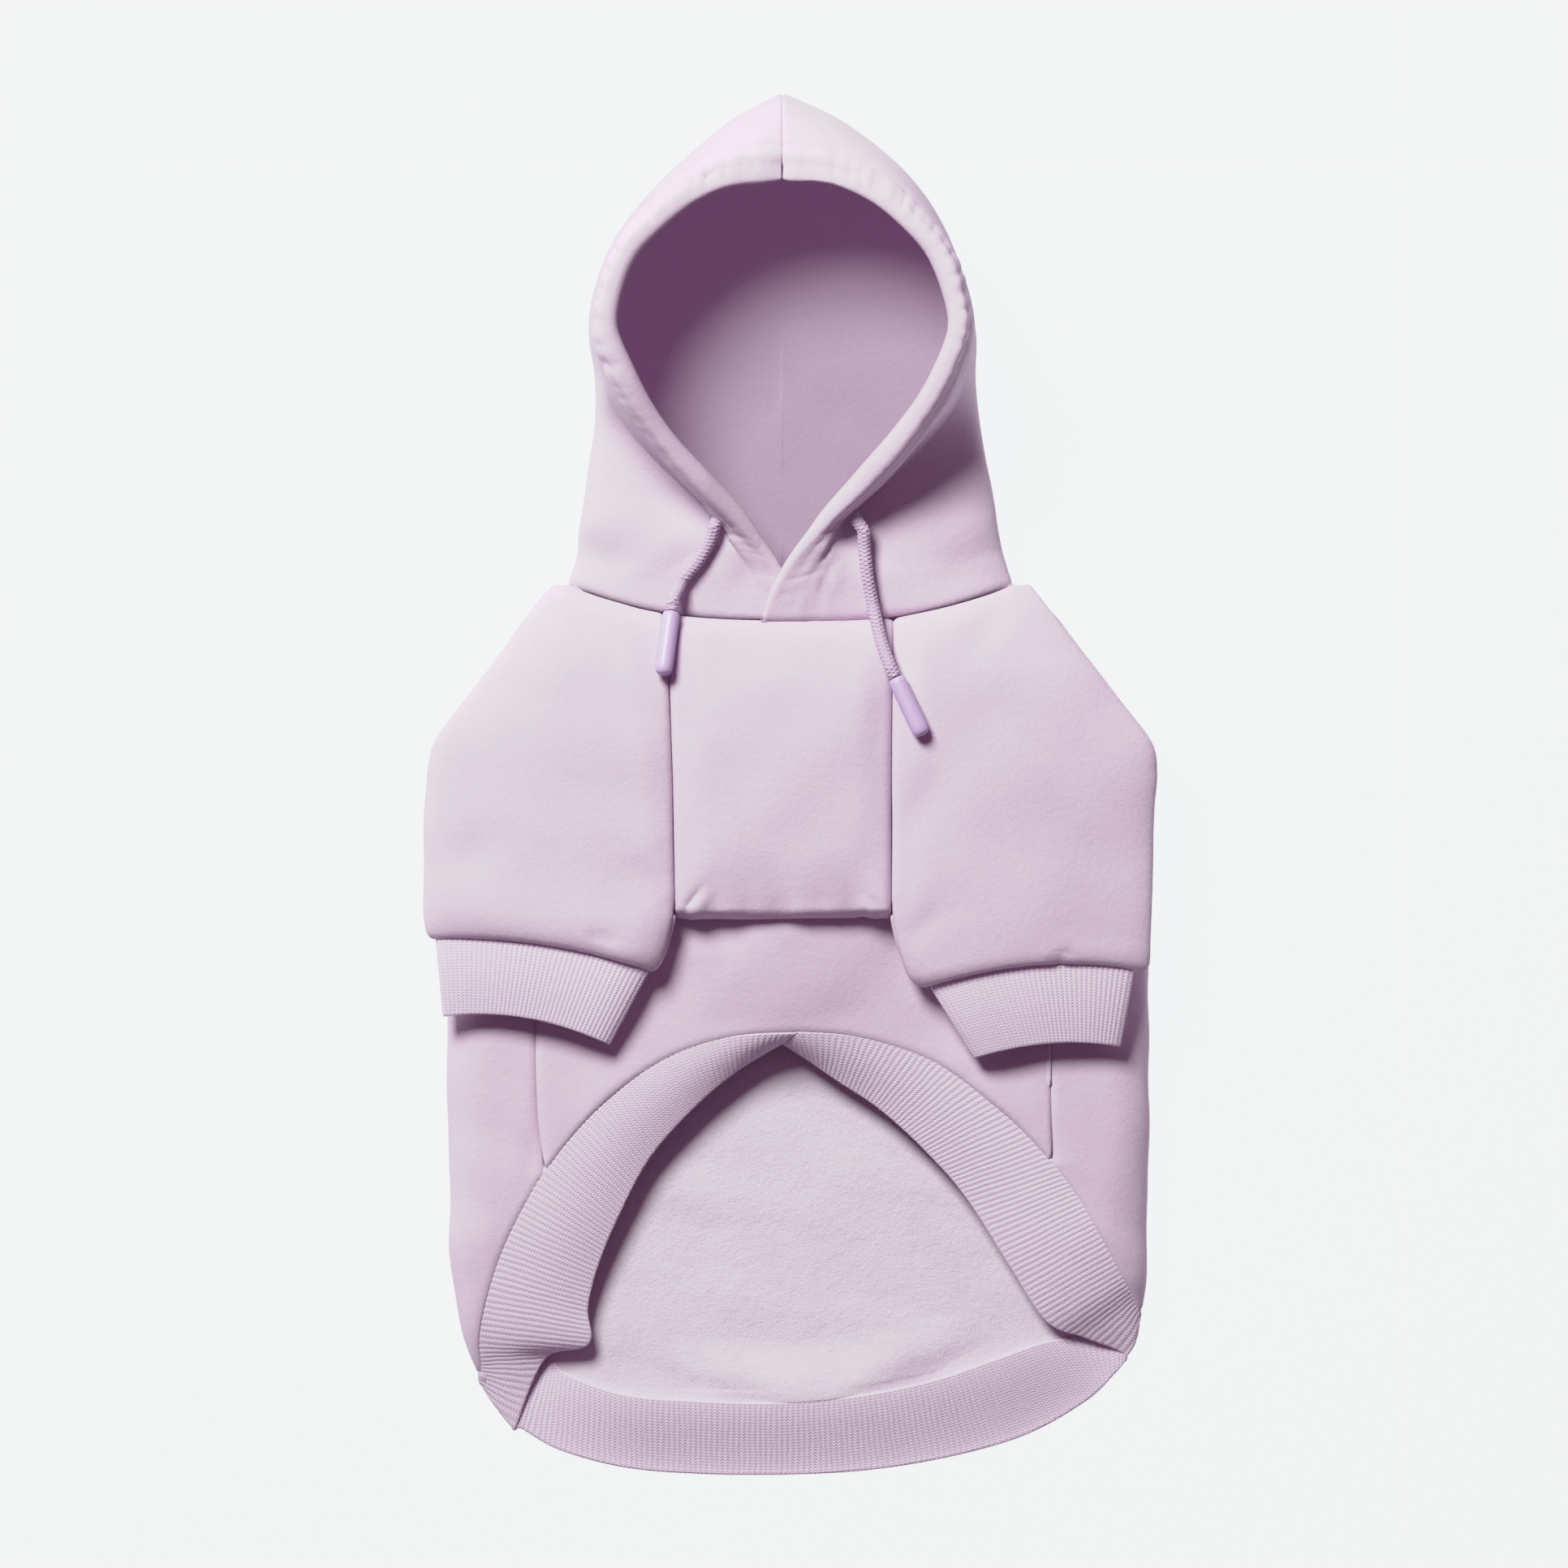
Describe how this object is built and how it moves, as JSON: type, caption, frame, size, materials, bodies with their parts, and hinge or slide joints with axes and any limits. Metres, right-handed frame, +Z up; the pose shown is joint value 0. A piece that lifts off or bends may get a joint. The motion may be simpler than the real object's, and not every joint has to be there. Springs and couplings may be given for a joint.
{
  "type": "dog hoodie",
  "caption": "Fleece pullover hoodie for a dog, laid flat on its back: open hood with a drawcord, raglan sleeves with ribbed cuffs, and a ribbed hem scooped up at the belly.",
  "frame": {"origin": "middle of the plan, on the surface that the back lies on", "axes": "+Z up, away from the surface, +Y from the hem to the hood's crown, +X to the right of someone who looks down on the chest"},
  "size_m": [0.2708, 0.511, 0.067],
  "materials": {
    "fleece": "brushed matte lavender fleece",
    "rib_knit": "matte lavender rib knit",
    "cord_braid": "matte lavender braid",
    "dipped_tip": "smooth satin lilac dip"
  },
  "bodies": {
    "root": {"back_panel": "fleece", "belly_panel": "fleece", "chest_panel": "fleece", "sleeve_left": "fleece", "sleeve_right": "fleece", "hood_left": "fleece", "hood_right": "fleece", "cuff_left": "rib_knit", "cuff_right": "rib_knit", "hem_band": "rib_knit", "drawcord_left": "cord_braid", "drawcord_right": "cord_braid", "cord_tip_left": "dipped_tip", "cord_tip_right": "dipped_tip"}
  },
  "joints": []
}
